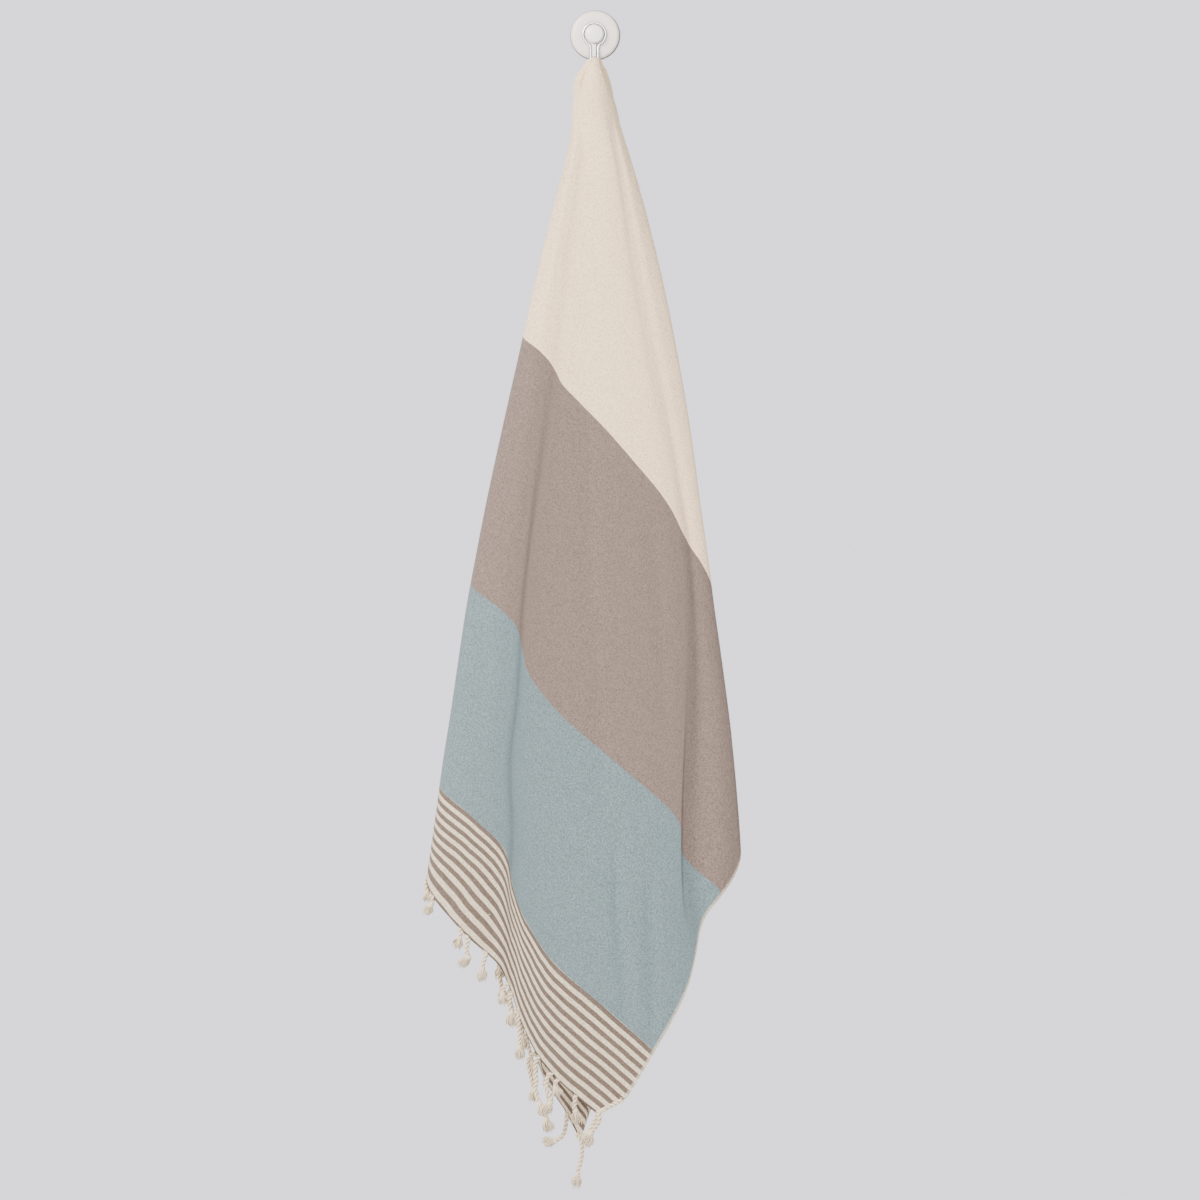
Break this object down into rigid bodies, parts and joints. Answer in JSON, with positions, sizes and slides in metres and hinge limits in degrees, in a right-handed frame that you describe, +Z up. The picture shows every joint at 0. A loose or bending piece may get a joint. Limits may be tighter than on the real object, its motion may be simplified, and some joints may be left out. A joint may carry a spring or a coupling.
{
  "type": "fringed hammam towel hanging on a suction wall hook",
  "caption": "Fringed flat-woven cotton bath towel, hung by its middle in soft folds from the raised tip of a small round wall hook.",
  "frame": {"origin": "centre of the hook disc's back face, on the wall", "axes": "+Y into the wall, +Z up, +X to the right as seen from the room"},
  "size_m": [0.3505, 0.0855, 1.2866],
  "materials": {
    "towel_cotton": "matte flat weave in cream, taupe and pale aqua bands with a striped end",
    "fringe_cotton": "matte twisted cotton cord",
    "hook_plastic": "smooth warm white gloss",
    "hook_chrome": "polished wire"
  },
  "bodies": {
    "root": {"towel_cloth": "towel_cotton", "fringe_front": "fringe_cotton", "fringe_rear": "fringe_cotton", "hook_disc": "hook_plastic", "hook_knob": "hook_plastic", "hook_lever": "hook_plastic", "hook_wire": "hook_chrome"}
  },
  "joints": []
}
